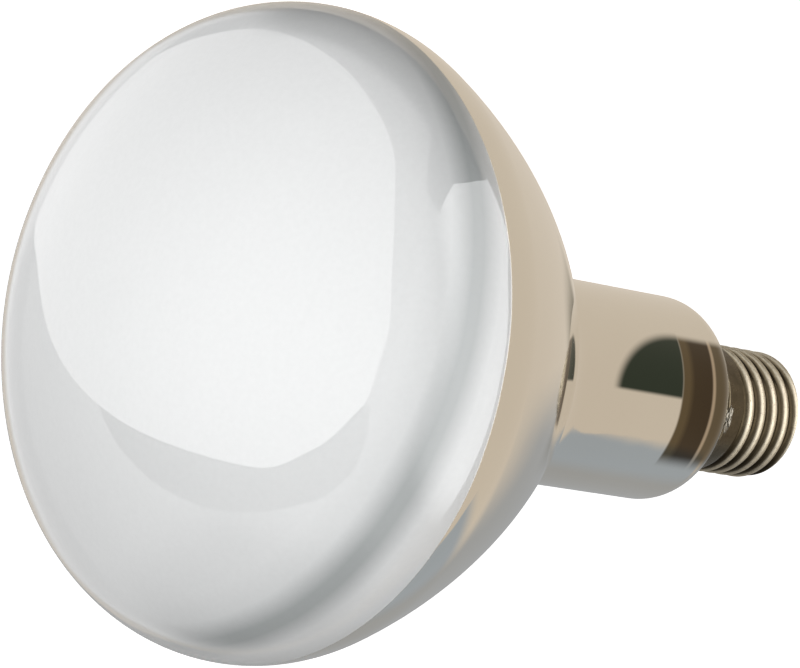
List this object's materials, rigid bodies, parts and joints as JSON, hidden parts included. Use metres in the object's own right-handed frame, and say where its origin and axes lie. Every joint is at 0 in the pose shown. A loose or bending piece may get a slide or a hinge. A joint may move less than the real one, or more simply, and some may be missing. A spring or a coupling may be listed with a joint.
{
  "type": "infrared heat lamp bulb",
  "caption": "Reflector heat lamp: a blown glass envelope with a domed frosted face and a mirror-coated bowl and neck, on an Edison screw cap with a centre contact.",
  "frame": {"origin": "tip of the centre solder, the lowest point of the screw cap, on the lamp's axis", "axes": "+Z along the lamp's axis from the cap to the face; the side solder points to -Y"},
  "size_m": [0.125, 0.125, 0.1848],
  "materials": {
    "coated_glass": "frosted inside the face, mirror coat inside the bowl and neck, glossy outside",
    "plated_brass": "rolled sheet, dull nickel plating gone brown",
    "dark_glass": "glossy, opaque",
    "contact_brass": "stamped, dull",
    "solder": "satin",
    "cement": "matt",
    "lead_wire": "drawn wire"
  },
  "bodies": {
    "root": {"glass_bulb": "coated_glass", "screw_shell": "plated_brass", "cap_insulator": "dark_glass", "centre_contact": "contact_brass", "centre_solder": "solder", "side_solder": "solder", "capping_cement": "cement", "centre_lead": "lead_wire", "side_lead": "lead_wire"}
  },
  "joints": []
}
